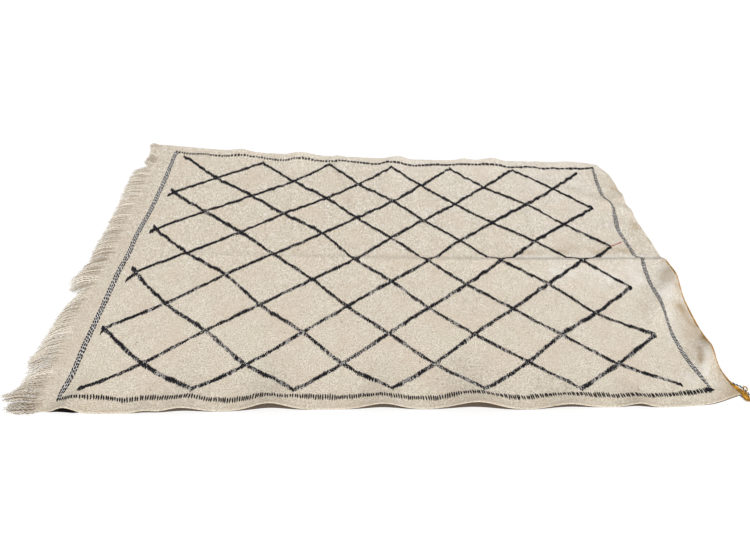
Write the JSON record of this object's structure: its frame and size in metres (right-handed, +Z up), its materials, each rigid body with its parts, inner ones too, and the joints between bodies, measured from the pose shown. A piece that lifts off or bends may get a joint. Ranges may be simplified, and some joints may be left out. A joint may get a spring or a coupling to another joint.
{
  "type": "kilim rug",
  "caption": "Flat-woven wool rug laid out with rippled edges and fold creases, a warp fringe on one end, a whipped cord edge and a corner tassel on the other.",
  "frame": {"origin": "middle of the rug's footprint, on the surface it lies on", "axes": "+X along the warps, from the fringed end to the gold end; +Y along the wefts, across the rug; +Z up out of the surface"},
  "size_m": [2.4908, 1.6124, 0.0484],
  "materials": {
    "cream_wool_weave": "undyed hand-spun wool in a ribbed flat weave with brown flecks, matt",
    "fringe_yarn": "loose wavy undyed wool warp ends, matt",
    "gold_wool": "gold-dyed wool yarn, slight sheen",
    "black_wool": "black wool yarn with a faint blue cast and pale flecks, matt"
  },
  "bodies": {
    "root": {"kilim_cloth": "cream_wool_weave", "warp_fringe": "fringe_yarn", "end_cord": "gold_wool", "corner_tassel": "gold_wool", "corner_yarn": "black_wool"}
  },
  "joints": []
}
